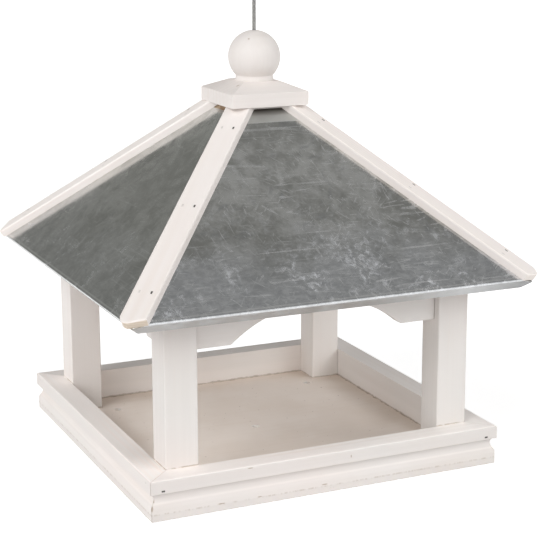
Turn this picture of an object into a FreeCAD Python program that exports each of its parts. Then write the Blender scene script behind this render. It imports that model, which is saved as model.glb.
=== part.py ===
import FreeCAD, Part
import math
import os

from FreeCAD import Matrix, Placement, Vector

# Hanging bird table: a square tray with moulded rails, four posts, arched aprons and a
# hipped zinc roof with white hip battens, a cap plate and a ball. A wire rope runs up
# through the apex block, the cap and the ball and carries the whole house.
# Millimetres, Z up, origin at the centre of the tray's underside, front towards -Y.

# Tray
tray_size = 280.0
rail_height = 30.0
rail_width = 18.0
rail_face_height = 9.8
rail_cove_depth = 3.8
rail_ogee_radius = 6.2
rail_ogee_angle = 40.0
rail_band_inset = 0.9
rail_edge_round = 1.4
mitre_gap = 0.2
floor_thickness = 6.0
floor_gap = 0.2
drain_bore = 6.0
drain_setback = 10.0

# Posts and aprons
post_size = 25.0
post_round = 1.0
apron_thickness = 12.0
apron_recess = 7.0
apron_drop = 35.0
apron_flat = 28.5
apron_arch_rise = 25.0
apron_joint = 0.4
apron_round = 0.8

# Roof sheets
roof_size = 320.0
roof_pitch = 41.35
eave_height = 148.0
sheet_thickness = 0.8
sheet_bend = 1.5
sheet_joint = 0.3
sheet_top_gap = 0.8
left_sheet_top_gap = 3.5
lip_length = 12.5
lip_slope = 38.5

# Hip battens and rafters
batten_width = 20.0
batten_thickness = 6.0
batten_lift = 0.1
batten_setback = 4.0
batten_skew = 5.0
batten_corner = 7.5
batten_round = 1.5
back_left_lean = 18.0
front_right_lean = 4.0
rafter_width = 22.0
rafter_depth = 14.0
rafter_tail = 16.0

# Apex block, cap plate and ball
block_size = 49.0
block_height = 36.0
block_reveal = 2.0
cap_size = 63.0
cap_edge = 10.2
cap_rise = 7.0
cap_flat = 30.0
cap_round = 0.9
ball_diameter = 40.0
ball_neck = 28.6
ball_foot = 29.6
ball_foot_height = 3.8

# Wire rope with its fittings
rope_diameter = 3.0
rope_clearance = 0.5
washer_diameter = 18.0
washer_thickness = 1.5
stop_diameter = 8.0
stop_length = 12.0
rope_free = 30.0
ferrule_width = 9.0
ferrule_depth = 5.5
ferrule_length = 13.0
loop_bend = 12.0
loop_angle = 25.0
loop_run = 15.0

# Nails and screws
nail_shank = 1.3
nail_head = 2.4
nail_head_height = 0.8
batten_nail_length = 18.0
batten_nail_side = 4.5
batten_nail_first = 36.0
batten_nail_pitch = 51.3
batten_nail_rows = 3
rail_nail_length = 26.0
rail_nail_setback = 9.5
rail_nail_drop = 3.5
rail_nail_step = 4.5
floor_nail_length = 30.0
screw_shank = 3.2
screw_head = 6.6
screw_head_height = 2.6
screw_length = 28.0
fastener_gap = 0.06

os.makedirs("parts", exist_ok=True)

# Derived sizes
half_tray = tray_size / 2
half_in = half_tray - rail_width
half_roof = roof_size / 2
pitch = math.radians(roof_pitch)
rise = math.tan(pitch)
hip_rise = rise / math.sqrt(2)
hip_angle = math.atan(hip_rise)
bore = rope_diameter + 2 * rope_clearance
block_face = block_size / 2
sheet_top = block_face + sheet_top_gap
sheet_top_z = eave_height + (half_roof - sheet_top) * rise
cap_z = sheet_top_z + block_reveal
block_z = cap_z - block_height
cap_top = cap_z + cap_edge + cap_rise
ball_r = ball_diameter / 2
neck_drop = math.sqrt(ball_r ** 2 - (ball_neck / 2) ** 2)
ball_centre = cap_top + ball_foot_height + neck_drop
ball_top = ball_centre + ball_r
seat_z = eave_height - (batten_width / (2 * math.sqrt(2))) * rise + batten_lift
lip_turn = math.radians(lip_slope)
apron_low = eave_height - apron_drop
drain_at = half_in - post_size - drain_setback


def export(name, shape):
    shape.exportStep("parts/" + name + ".step")


def box(x0, x1, y0, y1, z0, z1):
    return Part.makeBox(x1 - x0, y1 - y0, z1 - z0, Vector(x0, y0, z0))


def face_of(points):
    return Part.Face(Part.makePolygon([Vector(*p) for p in points] + [Vector(*points[0])]))


def square(half, z):
    return [(-half, -half, z), (half, -half, z), (half, half, z), (-half, half, z)]


def frustum(half0, z0, half1, z1):
    low = square(half0, z0)
    high = square(half1, z1)
    sides = [face_of([low[i], low[(i + 1) % 4], high[(i + 1) % 4], high[i]]) for i in range(4)]
    return Part.Solid(Part.Shell([face_of(low), face_of(high)] + sides))


def turned(shape, quarter):
    out = shape.copy()
    out.rotate(Vector(0, 0, 0), Vector(0, 0, 1), 90.0 * quarter)
    return out


def mirrored(shape, flip_x, flip_y):
    out = shape.copy()
    if flip_x:
        out = out.mirror(Vector(0, 0, 0), Vector(1, 0, 0))
    if flip_y:
        out = out.mirror(Vector(0, 0, 0), Vector(0, 1, 0))
    return out


def edges_where(shape, test):
    return [e for e in shape.Edges if test(e)]


# Tray rails, cut from one moulding and mitred at the corners
def rail_profile():
    y_out = -half_tray
    y_in = -half_in
    z_face = rail_height - rail_face_height
    z_deep = z_face - rail_cove_depth
    turn = math.radians(rail_ogee_angle)
    deep = Vector(0, y_out + rail_cove_depth, z_deep)
    cove_mid = Vector(0, y_out + rail_cove_depth * math.cos(math.pi / 4),
                      z_deep + rail_cove_depth * math.sin(math.pi / 4))
    hollow = Vector(0, deep.y - rail_ogee_radius, z_deep)
    swell = Vector(0, hollow.y + rail_ogee_radius * math.cos(turn),
                   z_deep - rail_ogee_radius * math.sin(turn))
    swell_mid = Vector(0, hollow.y + rail_ogee_radius * math.cos(turn / 2),
                       z_deep - rail_ogee_radius * math.sin(turn / 2))
    band_y = y_out + rail_band_inset
    nose_radius = (swell.y - band_y) / (1 - math.cos(turn))
    nose = Vector(0, band_y + nose_radius, swell.z - nose_radius * math.sin(turn))
    band = Vector(0, band_y, nose.z)
    nose_mid = Vector(0, nose.y - nose_radius * math.cos(turn / 2),
                      nose.z + nose_radius * math.sin(turn / 2))
    top_out = Vector(0, y_out, rail_height - rail_edge_round)
    top_arc = Vector(0, y_out + rail_edge_round * (1 - math.cos(math.pi / 4)),
                     rail_height - rail_edge_round * (1 - math.sin(math.pi / 4)))
    top_in = Vector(0, y_out + rail_edge_round, rail_height)
    edges = [
        Part.LineSegment(Vector(0, y_in, 0), Vector(0, y_in, rail_height)).toShape(),
        Part.LineSegment(Vector(0, y_in, rail_height), top_in).toShape(),
        Part.Arc(top_in, top_arc, top_out).toShape(),
        Part.LineSegment(top_out, Vector(0, y_out, z_face)).toShape(),
        Part.Arc(Vector(0, y_out, z_face), cove_mid, deep).toShape(),
        Part.Arc(deep, swell_mid, swell).toShape(),
        Part.Arc(swell, nose_mid, band).toShape(),
        Part.LineSegment(band, Vector(0, band_y, 0)).toShape(),
        Part.LineSegment(Vector(0, band_y, 0), Vector(0, y_in, 0)).toShape(),
    ]
    return Part.Face(Part.Wire(edges))


def make_rail():
    bar = rail_profile()
    bar.translate(Vector(-half_tray, 0, 0))
    bar = bar.extrude(Vector(tray_size, 0, 0))
    slack = mitre_gap / math.sqrt(2)
    reach = half_tray + 1
    wedge = face_of([(-reach + slack, -reach, -1), (reach - slack, -reach, -1), (slack, 0, -1), (-slack, 0, -1)])
    return bar.common(wedge.extrude(Vector(0, 0, rail_height + 2)))


front_rail = make_rail()


# Brad with a square shank and a T head, lying along -Z with its head flush at the origin
def brad(length, gap, above):
    wide = nail_head / 2 + gap
    thin = nail_shank / 2 + gap
    head = box(-wide, wide, -thin, thin, -nail_head_height - gap, above)
    shank = box(-thin, thin, -thin, thin, -length - gap, above)
    return head.fuse(shank).removeSplitter()


def nail(length):
    return brad(length, 0, 0)


def nail_hole(length):
    return brad(length, fastener_gap, 1)


def laid(shape, base, towards):
    out = shape.copy()
    out.Placement = Placement(base, FreeCAD.Rotation(Vector(0, 0, -1), towards))
    return out


# Nails of the front rail: one at each end into the side rails and one into the floor's edge
rail_nails = []
rail_holes = []
for quarter in range(4):
    drop = rail_nail_drop + (rail_nail_step if quarter % 2 == 0 else 0)
    spots = [
        (Vector(-half_tray + rail_nail_setback, -half_tray, rail_height - drop), rail_nail_length),
        (Vector(half_tray - rail_nail_setback, -half_tray, rail_height - drop), rail_nail_length),
        (Vector(0, -half_tray + rail_band_inset, floor_thickness / 2), floor_nail_length),
    ]
    for base, length in spots:
        rail_nails.append(turned(laid(nail(length), base, Vector(0, 1, 0)), quarter))
        rail_holes.append(turned(laid(nail_hole(length), base, Vector(0, 1, 0)), quarter))
rail_cutter = Part.makeCompound(rail_holes)

export("rail_front", front_rail.cut(rail_cutter))
export("rail_right", turned(front_rail, 1).cut(rail_cutter))
export("rail_back", turned(front_rail, 2).cut(rail_cutter))
export("rail_left", turned(front_rail, 3).cut(rail_cutter))
export("rail_nails", Part.makeCompound(rail_nails))


# Floor board with five drain holes and the screws that hold the posts
def screw():
    head = Part.makeCone(screw_head / 2, screw_shank / 2, screw_head_height, Vector(0, 0, 0))
    shank = Part.makeCylinder(screw_shank / 2, screw_length - screw_head_height, Vector(0, 0, screw_head_height))
    return head.fuse(shank).removeSplitter()


def screw_hole():
    mouth = screw_head / 2 + fastener_gap
    throat = screw_shank / 2 + fastener_gap
    head = Part.makeCone(mouth, throat, screw_head_height, Vector(0, 0, 0))
    shank = Part.makeCylinder(throat, screw_length + 0.5 - screw_head_height, Vector(0, 0, screw_head_height))
    return head.fuse(shank)


post_at = half_in - post_size / 2
screws = []
screw_holes = []
for sx, sy in ((-1, -1), (1, -1), (1, 1), (-1, 1)):
    spot = Vector(sx * post_at, sy * post_at, 0)
    one = screw()
    one.translate(spot)
    hole = screw_hole()
    hole.translate(spot)
    screws.append(one)
    screw_holes.append(hole)
screw_cutter = Part.makeCompound(screw_holes)
export("post_screws", Part.makeCompound(screws))

half_floor = half_in - floor_gap
floor_board = box(-half_floor, half_floor, -half_floor, half_floor, 0, floor_thickness)
for x, y in ((0, 0), (-drain_at, -drain_at), (drain_at, -drain_at), (drain_at, drain_at), (-drain_at, drain_at)):
    floor_board = floor_board.cut(Part.makeCylinder(drain_bore / 2, floor_thickness + 2, Vector(x, y, -1)))
floor_board = floor_board.cut(screw_cutter).cut(rail_cutter)
export("floor_board", floor_board)


# Space under the sheets: wood that carries them is cut to this pyramid
inner_half = half_roof - sheet_thickness / math.sin(pitch)
low_z = eave_height - 60
high_z = eave_height + (inner_half - 1) * rise
under_roof = frustum(inner_half + 60 / rise, low_z, 1, high_z)


# Frame of the front left hip: X runs down the hip, Y towards the front eave, Z out of the roof,
# with the origin on the batten's seat over the corner of the eave
down = Vector(-math.cos(hip_angle) / math.sqrt(2), -math.cos(hip_angle) / math.sqrt(2), -math.sin(hip_angle))
side = Vector(1 / math.sqrt(2), -1 / math.sqrt(2), 0)
out_of = down.cross(side)
hip_origin = Vector(-half_roof, -half_roof, seat_z)
hip_place = Placement(Matrix(down.x, side.x, out_of.x, hip_origin.x,
                             down.y, side.y, out_of.y, hip_origin.y,
                             down.z, side.z, out_of.z, hip_origin.z,
                             0, 0, 0, 1))
hip_per_mm = math.sqrt(2) / math.cos(hip_angle)


def along_hip(distance_from_axis):
    return (distance_from_axis - half_roof) * hip_per_mm


def in_hip(shape):
    out = shape.copy()
    out.Placement = hip_place
    return out


hip_top = along_hip(0)
half_batten = batten_width / 2
half_rafter = rafter_width / 2

# Rafter under the batten: a flat seat for the batten and a bevel for the sheet on each side
rafter_bar = in_hip(box(hip_top, along_hip(half_roof - rafter_tail), -half_rafter, half_rafter, -rafter_depth, 0))
block_core = box(-block_face, block_face, -block_face, block_face, block_z - 1, cap_z + 1)
rafter = rafter_bar.common(under_roof).cut(block_core)
rafter = [s for s in rafter.Solids if s.CenterOfMass.x < -block_face][0]

# Batten with rounded long edges, its lower end cut off nearly square with one corner rounded
tip = along_hip(half_roof - batten_setback)
arc_in = batten_corner * (1 - math.sin(math.pi / 4))
outline = Part.Wire([
    Part.LineSegment(Vector(hip_top, -half_batten, 0), Vector(tip - batten_corner, -half_batten, 0)).toShape(),
    Part.Arc(Vector(tip - batten_corner, -half_batten, 0), Vector(tip - arc_in, -half_batten + arc_in, 0),
             Vector(tip, -half_batten + batten_corner, 0)).toShape(),
    Part.LineSegment(Vector(tip, -half_batten + batten_corner, 0), Vector(tip - batten_skew, half_batten, 0)).toShape(),
    Part.LineSegment(Vector(tip - batten_skew, half_batten, 0), Vector(hip_top, half_batten, 0)).toShape(),
    Part.LineSegment(Vector(hip_top, half_batten, 0), Vector(hip_top, -half_batten, 0)).toShape(),
])
batten = Part.Face(outline).extrude(Vector(0, 0, batten_thickness))


def is_long_top_edge(e):
    b = e.BoundBox
    on_top = abs(b.ZMin - batten_thickness) < 1e-6 and abs(b.ZMax - batten_thickness) < 1e-6
    at_side = abs(b.YMin + half_batten) < 1e-6 or abs(b.YMax - half_batten) < 1e-6
    return on_top and at_side and b.XMax - b.XMin > batten_corner / 2 and b.YMax - b.YMin < half_batten * 1.5


batten = batten.makeFillet(batten_round, edges_where(batten, is_long_top_edge))
batten_nails = []
batten_cutters = []
for row in range(batten_nail_rows):
    for lateral in (-batten_nail_side, batten_nail_side):
        base = Vector(along_hip(batten_nail_first + row * batten_nail_pitch), lateral, batten_thickness)
        batten_nails.append(laid(nail(batten_nail_length), base, Vector(0, 0, -1)))
        batten_cutters.append(laid(nail_hole(batten_nail_length), base, Vector(0, 0, -1)))
batten = batten.cut(Part.makeCompound(batten_cutters))
batten = in_hip(batten)
nail_set = in_hip(Part.makeCompound(batten_nails))
hole_set = in_hip(Part.makeCompound(batten_cutters))

# A batten can lean over one bottom edge, nails and all
def leaned(shape, over, angle):
    out = shape.copy()
    out.rotate(hip_place.multVec(Vector(0, over * half_batten, 0)), down * -over, angle)
    return out


corners = (("front_left", False, False, 1, 0), ("front_right", True, False, 1, front_right_lean),
           ("back_right", True, True, 1, 0), ("back_left", False, True, -1, back_left_lean))
block_zone = box(-block_face - sheet_joint, block_face + sheet_joint, -block_face - sheet_joint,
                 block_face + sheet_joint, 0, cap_z + 60)
above_cap = box(-half_roof, half_roof, -half_roof, half_roof, cap_z, cap_z + 200)
all_nails = []
rafters = []
for name, flip_x, flip_y, over, angle in corners:
    strip = mirrored(leaned(batten, over, angle), flip_x, flip_y)
    nails = mirrored(leaned(nail_set, over, angle), flip_x, flip_y)
    holes = mirrored(leaned(hole_set, over, angle), flip_x, flip_y)
    strip = strip.cut(above_cap).cut(block_zone)
    strip = max(strip.Solids, key=lambda s: s.Volume)
    export("hip_batten_" + name, strip)
    all_nails.extend(nails.Solids)
    beam = mirrored(rafter, flip_x, flip_y)
    rafters.append(beam)
    export("hip_rafter_" + name, beam.cut(holes))
export("batten_nails", Part.makeCompound(all_nails))
rafter_group = Part.makeCompound(rafters)


# Posts stand on the floor board and carry the rafters on their sloping tops
post = box(-half_in, -half_in + post_size, -half_in, -half_in + post_size, floor_thickness, eave_height + half_roof)
post = post.makeFillet(post_round, edges_where(post, lambda e: e.BoundBox.ZLength > post_size * 2))
over_post = in_hip(box(hip_top * 2, 200, -200, 200, -rafter_depth, 400))
post = post.cut(over_post)
for name, flip_x, flip_y, over, angle in corners:
    export("post_" + name, mirrored(post, flip_x, flip_y).cut(screw_cutter))


# Aprons between the posts, arched underneath and bevelled on top to the sheets
apron_end = half_in - post_size - apron_joint
arch_half = apron_end - apron_flat + apron_joint
arch_radius = (arch_half ** 2 + apron_arch_rise ** 2) / (2 * apron_arch_rise)
apron_face_y = -half_in + apron_recess
apron_top = eave_height + half_roof
crown = Vector(0, apron_face_y, apron_low + apron_arch_rise)
apron_wire = Part.Wire([
    Part.LineSegment(Vector(-apron_end, apron_face_y, apron_low), Vector(-arch_half, apron_face_y, apron_low)).toShape(),
    Part.Arc(Vector(-arch_half, apron_face_y, apron_low), crown, Vector(arch_half, apron_face_y, apron_low)).toShape(),
    Part.LineSegment(Vector(arch_half, apron_face_y, apron_low), Vector(apron_end, apron_face_y, apron_low)).toShape(),
    Part.LineSegment(Vector(apron_end, apron_face_y, apron_low), Vector(apron_end, apron_face_y, apron_top)).toShape(),
    Part.LineSegment(Vector(apron_end, apron_face_y, apron_top), Vector(-apron_end, apron_face_y, apron_top)).toShape(),
    Part.LineSegment(Vector(-apron_end, apron_face_y, apron_top), Vector(-apron_end, apron_face_y, apron_low)).toShape(),
])
apron = Part.Face(apron_wire).extrude(Vector(0, apron_thickness, 0))


def is_lower_front_edge(e):
    b = e.BoundBox
    in_front = abs(b.YMin - apron_face_y) < 1e-6 and abs(b.YMax - apron_face_y) < 1e-6
    return in_front and b.ZMax < crown.z + 1


apron = apron.makeFillet(apron_round, edges_where(apron, is_lower_front_edge))
notch = in_hip(box(hip_top, 0, -half_rafter - apron_joint, half_rafter + apron_joint, -rafter_depth - apron_joint, 30))
notches = notch.fuse(mirrored(notch, True, False))
apron = apron.common(under_roof).cut(notches)
apron = max(apron.Solids, key=lambda s: s.Volume)
export("apron_front", apron)
export("apron_right", turned(apron, 1))
export("apron_back", turned(apron, 2))
export("apron_left", turned(apron, 3))


# Zinc sheets: each folded square to its slope along the eave, mitred at the hips, and cut
# back where the battens sit
def sheet_profile(top_gap):
    up_slope = Vector(0, math.cos(pitch), math.sin(pitch))
    under = Vector(0, math.sin(pitch), -math.cos(pitch))
    lip_way = Vector(0, math.cos(lip_turn), -math.sin(lip_turn))
    lip_in = Vector(0, math.sin(lip_turn), math.cos(lip_turn))
    half_fold = (pitch + lip_turn) / 2
    fold = Vector(0, -half_roof, eave_height)
    bisector = up_slope + lip_way
    bisector.normalize()
    centre = fold + bisector * (sheet_bend / math.sin(half_fold))
    inner = sheet_bend - sheet_thickness
    reach = sheet_bend / math.tan(half_fold)
    top_out = fold + up_slope * ((half_roof - block_face - top_gap) / math.cos(pitch))
    top_in = top_out + under * sheet_thickness
    tip_out = fold + lip_way * lip_length
    tip_in = tip_out + lip_in * sheet_thickness
    a0 = fold + up_slope * reach
    a1 = fold + lip_way * reach
    a_mid = centre - bisector * sheet_bend
    b0 = a0 + under * sheet_thickness
    b1 = a1 + lip_in * sheet_thickness
    b_mid = centre - bisector * inner
    return Part.Face(Part.Wire([
        Part.LineSegment(top_out, a0).toShape(),
        Part.Arc(a0, a_mid, a1).toShape(),
        Part.LineSegment(a1, tip_out).toShape(),
        Part.LineSegment(tip_out, tip_in).toShape(),
        Part.LineSegment(tip_in, b1).toShape(),
        Part.Arc(b1, b_mid, b0).toShape(),
        Part.LineSegment(b0, top_in).toShape(),
        Part.LineSegment(top_in, top_out).toShape(),
    ]))


seat = in_hip(box(hip_top * 1.2, -hip_top, -half_batten, half_batten, 0, 60))
seats = seat.fuse(mirrored(seat, True, False))
half_joint = sheet_joint / math.sqrt(2)
sheet_reach = half_roof + 2
sheet_wedge = face_of([(-sheet_reach + half_joint, -sheet_reach, 0), (sheet_reach - half_joint, -sheet_reach, 0),
                       (half_joint, 0, 0), (-half_joint, 0, 0)]).extrude(Vector(0, 0, cap_z))


def make_sheet(top_gap):
    blank = sheet_profile(top_gap)
    blank.translate(Vector(-half_roof, 0, 0))
    blank = blank.extrude(Vector(roof_size, 0, 0)).common(sheet_wedge).cut(seats)
    return max(blank.Solids, key=lambda s: s.Volume)


sheet = make_sheet(sheet_top_gap)
export("roof_sheet_front", sheet)
export("roof_sheet_right", turned(sheet, 1))
export("roof_sheet_back", turned(sheet, 2))
# The left sheet was cut short and leaves a strip of the block bare
export("roof_sheet_left", turned(make_sheet(left_sheet_top_gap), 3))


# Apex block, bored for the rope
block = box(-block_face, block_face, -block_face, block_face, block_z, cap_z)
block = block.makeFillet(post_round, edges_where(block, lambda e: e.BoundBox.ZLength > block_height / 2))
block = block.cut(Part.makeCylinder(bore / 2, block_height + 2, Vector(0, 0, block_z - 1)))
export("apex_block", block)

# Cap plate with a hipped top and a small flat for the ball
half_cap = cap_size / 2
cap = box(-half_cap, half_cap, -half_cap, half_cap, cap_z, cap_z + cap_edge)
cap = cap.fuse(frustum(half_cap, cap_z + cap_edge, cap_flat / 2, cap_top)).removeSplitter()


def is_cap_outer_edge(e):
    b = e.BoundBox
    wide = max(abs(b.XMin), abs(b.XMax), abs(b.YMin), abs(b.YMax))
    on_rim = abs(wide - half_cap) < 1e-6
    return on_rim and b.ZMax > cap_z + 1e-3 and b.ZMax < cap_z + cap_edge + 1e-3


cap = cap.makeFillet(cap_round, edges_where(cap, is_cap_outer_edge))
cap = cap.cut(Part.makeCylinder(bore / 2, cap_edge + cap_rise + 2, Vector(0, 0, cap_z - 1)))
export("cap_plate", cap)

# Turned ball on its low foot
neck = Vector(ball_neck / 2, 0, ball_centre - neck_drop)
lean = math.atan2(ball_neck / 2, neck_drop)
ball_side = Vector(ball_r, 0, ball_centre)
foot_r = ball_foot / 2
waist = Vector((ball_neck / 2 + foot_r) / 2 - (foot_r - ball_neck / 2) * 0.3, 0, cap_top + ball_foot_height * 0.55)
ball = Part.Face(Part.Wire([
    Part.LineSegment(Vector(0, 0, cap_top), Vector(foot_r, 0, cap_top)).toShape(),
    Part.LineSegment(Vector(foot_r, 0, cap_top), Vector(foot_r, 0, cap_top + ball_foot_height * 0.2)).toShape(),
    Part.Arc(Vector(foot_r, 0, cap_top + ball_foot_height * 0.2), waist, neck).toShape(),
    Part.Arc(neck, ball_side, Vector(0, 0, ball_top)).toShape(),
    Part.LineSegment(Vector(0, 0, ball_top), Vector(0, 0, cap_top)).toShape(),
])).revolve(Vector(0, 0, 0), Vector(0, 0, 1), 360)
ball = ball.cut(Part.makeCylinder(bore / 2, ball_top - cap_top + 2, Vector(0, 0, cap_top - 1)))
export("ball_finial", ball)


# Washer and stop ferrule under the block
washer_z = block_z - washer_thickness
washer = Part.makeCylinder(washer_diameter / 2, washer_thickness, Vector(0, 0, washer_z))
washer = washer.cut(Part.makeCylinder(bore / 2, washer_thickness + 2, Vector(0, 0, washer_z - 1)))
export("stop_washer", washer)
stop_z = washer_z - stop_length
stop = Part.makeCylinder(stop_diameter / 2, stop_length, Vector(0, 0, stop_z))
stop = stop.makeChamfer(stop_diameter / 12, edges_where(stop, lambda e: e.BoundBox.ZLength < 1e-6))
export("stop_ferrule", stop)

# Rope inside the bores, its free stretch and the eye loop that the hook takes
rope_r = rope_diameter / 2
export("rope_in_bore", Part.makeCylinder(rope_r, ball_top - washer_z, Vector(0, 0, washer_z)))
export("rope_free", Part.makeCylinder(rope_r, rope_free, Vector(0, 0, ball_top)))
ferrule_z = ball_top + rope_free
loop_z = ferrule_z + ferrule_length
round_r = ferrule_depth / 2
flat = ferrule_width / 2 - round_r
ferrule = box(-flat, flat, -round_r, round_r, ferrule_z, loop_z)
for x in (-flat, flat):
    ferrule = ferrule.fuse(Part.makeCylinder(round_r, ferrule_length, Vector(x, 0, ferrule_z)))
ferrule = ferrule.removeSplitter()
export("loop_ferrule", ferrule)

leg = rope_r + 0.1
turn = math.radians(loop_angle)
bend_end = Vector(leg + loop_bend * (1 - math.cos(turn)), 0, loop_z + loop_bend * math.sin(turn))
bend_mid = Vector(leg + loop_bend * (1 - math.cos(turn / 2)), 0, loop_z + loop_bend * math.sin(turn / 2))
run_end = bend_end + Vector(loop_run * math.sin(turn), 0, loop_run * math.cos(turn))
eye_radius = run_end.x / math.cos(turn)
eye_centre = run_end.z + eye_radius * math.sin(turn)


def flipped(v):
    return Vector(-v.x, v.y, v.z)


loop_path = Part.Wire([
    Part.Arc(Vector(leg, 0, loop_z), bend_mid, bend_end).toShape(),
    Part.LineSegment(bend_end, run_end).toShape(),
    Part.Arc(run_end, Vector(0, 0, eye_centre + eye_radius), flipped(run_end)).toShape(),
    Part.LineSegment(flipped(run_end), flipped(bend_end)).toShape(),
    Part.Arc(flipped(bend_end), flipped(bend_mid), Vector(-leg, 0, loop_z)).toShape(),
])
section = Part.Wire(Part.makeCircle(rope_r, Vector(leg, 0, loop_z), Vector(0, 0, 1)))
loop = loop_path.makePipeShell([section], True, False)
export("rope_loop", loop)
loop_length = loop_path.Length
print("rope loop bends: %.1f mm and %.1f mm" % (loop_bend, eye_radius))
print("rope loop volume against section times length: %.4f" % (loop.Volume / (math.pi * rope_r ** 2 * loop_length)))
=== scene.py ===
# Hanging bird table: a white-washed house with a zinc roof on a wire rope
import math

import bpy
from mathutils import Matrix, Vector


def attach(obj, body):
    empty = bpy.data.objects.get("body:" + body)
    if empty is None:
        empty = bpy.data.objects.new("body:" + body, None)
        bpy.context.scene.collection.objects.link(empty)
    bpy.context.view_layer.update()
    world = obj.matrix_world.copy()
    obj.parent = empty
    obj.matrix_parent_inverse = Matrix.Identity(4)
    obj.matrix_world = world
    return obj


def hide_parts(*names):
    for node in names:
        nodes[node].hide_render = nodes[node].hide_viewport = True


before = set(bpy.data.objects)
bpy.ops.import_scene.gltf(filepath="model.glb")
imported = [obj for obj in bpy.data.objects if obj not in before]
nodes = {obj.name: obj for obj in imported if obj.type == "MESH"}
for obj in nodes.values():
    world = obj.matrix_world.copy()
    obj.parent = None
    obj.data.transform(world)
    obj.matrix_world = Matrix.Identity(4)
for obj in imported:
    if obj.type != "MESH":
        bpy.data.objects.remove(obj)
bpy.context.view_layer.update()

scene = bpy.context.scene
mm = 0.001
roof_pitch = math.radians(41.35)


def span(name):
    """Lowest and highest corner of a node."""
    spots = [vertex.co for vertex in nodes[name].data.vertices]
    return [Vector([pick(spot[k] for spot in spots) for k in range(3)]) for pick in (min, max)]


rail_low, rail_high = span("rail_front")
tray_half = -rail_low.y
rail_inside = -rail_high.y
rail_top = rail_high.z
floor_top = span("floor_board")[1].z

# Camera at the photograph's angle
view_turn = math.radians(-26.233)
view_lift = math.radians(13.310)
view_roll = math.radians(0.390)
view_aim = Vector((26.9, -77.7, 156.4)) * mm
view_distance = 1183.4 * mm
film_width, lens_length = 36.0, 105.34
film_shift = (-0.1100, -0.0153)


def photo_camera():
    data = bpy.data.cameras.new("photo_camera")
    data.sensor_width = film_width
    data.lens = lens_length
    data.shift_x, data.shift_y = film_shift
    data.clip_start = 0.02
    data.clip_end = 60.0
    camera = bpy.data.objects.new("photo_camera", data)
    scene.collection.objects.link(camera)
    back = Vector((math.sin(view_turn) * math.cos(view_lift),
                   -math.cos(view_turn) * math.cos(view_lift), math.sin(view_lift)))
    right = (-back).cross(Vector((0, 0, 1))).normalized()
    up = right.cross(-back)
    side = right * math.cos(view_roll) + up * math.sin(view_roll)
    head = up * math.cos(view_roll) - right * math.sin(view_roll)
    turn = Matrix((side, head, back)).transposed().to_4x4()
    camera.matrix_world = Matrix.Translation(view_aim + back * view_distance) @ turn
    return camera


scene.camera = photo_camera()


# Laying out nodes
def feed(tree, socket, value):
    if isinstance(value, bpy.types.NodeSocket):
        tree.links.new(value, socket)
    else:
        socket.default_value = value


def put(tree, kind, feeds=None, **settings):
    made = tree.nodes.new(kind)
    for name, value in settings.items():
        setattr(made, name, value)
    for name, value in (feeds or {}).items():
        feed(tree, made.inputs[name], value)
    return made


def sums(tree, operation, a, b=0.0):
    made = put(tree, "ShaderNodeMath", operation=operation)
    feed(tree, made.inputs[0], a)
    feed(tree, made.inputs[1], b)
    return made.outputs[0]


def plus(tree, a, b):
    return sums(tree, "ADD", a, b)


def minus(tree, a, b):
    return sums(tree, "SUBTRACT", a, b)


def times(tree, a, b):
    return sums(tree, "MULTIPLY", a, b)


def unsigned(tree, value):
    return sums(tree, "ABSOLUTE", value)


def arrows(tree, operation, a, b=None, scale=None):
    made = put(tree, "ShaderNodeVectorMath", operation=operation)
    for index, value in ((0, a), (1, b), (3, scale)):
        if value is not None:
            feed(tree, made.inputs[index], value)
    return made.outputs


def parts_of(tree, vector):
    return put(tree, "ShaderNodeSeparateXYZ", {"Vector": vector}).outputs


def object_place(tree):
    return put(tree, "ShaderNodeTexCoord").outputs["Object"]


def towards(tree, direction):
    """How far a face looks one way: 1 straight at it, 0 across it."""
    normal = put(tree, "ShaderNodeTexCoord").outputs["Normal"]
    return arrows(tree, "DOT_PRODUCT", normal, direction)["Value"]


def tint(tree, share, a, b, blend="MIX"):
    made = put(tree, "ShaderNodeMix", data_type="RGBA", blend_type=blend)
    for index, value in ((0, share), (6, a), (7, b)):
        feed(tree, made.inputs[index], (*value, 1.0) if isinstance(value, tuple) else value)
    return made.outputs[2]


def cover(tree, body, mask, amount, shade):
    """The body's colour with so much of a shade laid over it where the mask is."""
    return tint(tree, times(tree, mask, amount), body, shade)


def grey(tree, share):
    return put(tree, "ShaderNodeCombineColor", {"Red": share, "Green": share, "Blue": share}).outputs[0]


def deepen(tree, body, share, where=1.0):
    return tint(tree, where, body, share, "MULTIPLY")


def spread(tree, value, low, high, to_low=0.0, to_high=1.0, smooth=True):
    made = put(tree, "ShaderNodeMapRange", {"Value": value, "From Min": low, "From Max": high,
                                            "To Min": to_low, "To Max": to_high})
    made.interpolation_type = "SMOOTHSTEP" if smooth else "LINEAR"
    return made.outputs["Result"]


def falls(tree, value, low, high):
    return spread(tree, value, low, high, 1.0, 0.0)


def line_at(tree, value, level, core, fade):
    """A line where a value meets a level, full within the core and gone beyond the fade."""
    return falls(tree, unsigned(tree, minus(tree, value, level)), core, fade)


def speckle(tree, vector, scale, detail=2.0, rough=0.5, warp=0.0):
    made = put(tree, "ShaderNodeTexNoise", {"Vector": vector, "Scale": scale, "Detail": detail,
                                            "Roughness": rough, "Distortion": warp})
    return made.outputs["Fac"]


def stretched(tree, vector, scale, offset=(0.0, 0.0, 0.0)):
    made = put(tree, "ShaderNodeMapping", {"Vector": vector, "Scale": scale, "Location": offset})
    return made.outputs["Vector"]


def shifted(tree, vector, offset):
    return stretched(tree, vector, (1.0, 1.0, 1.0), offset)


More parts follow.
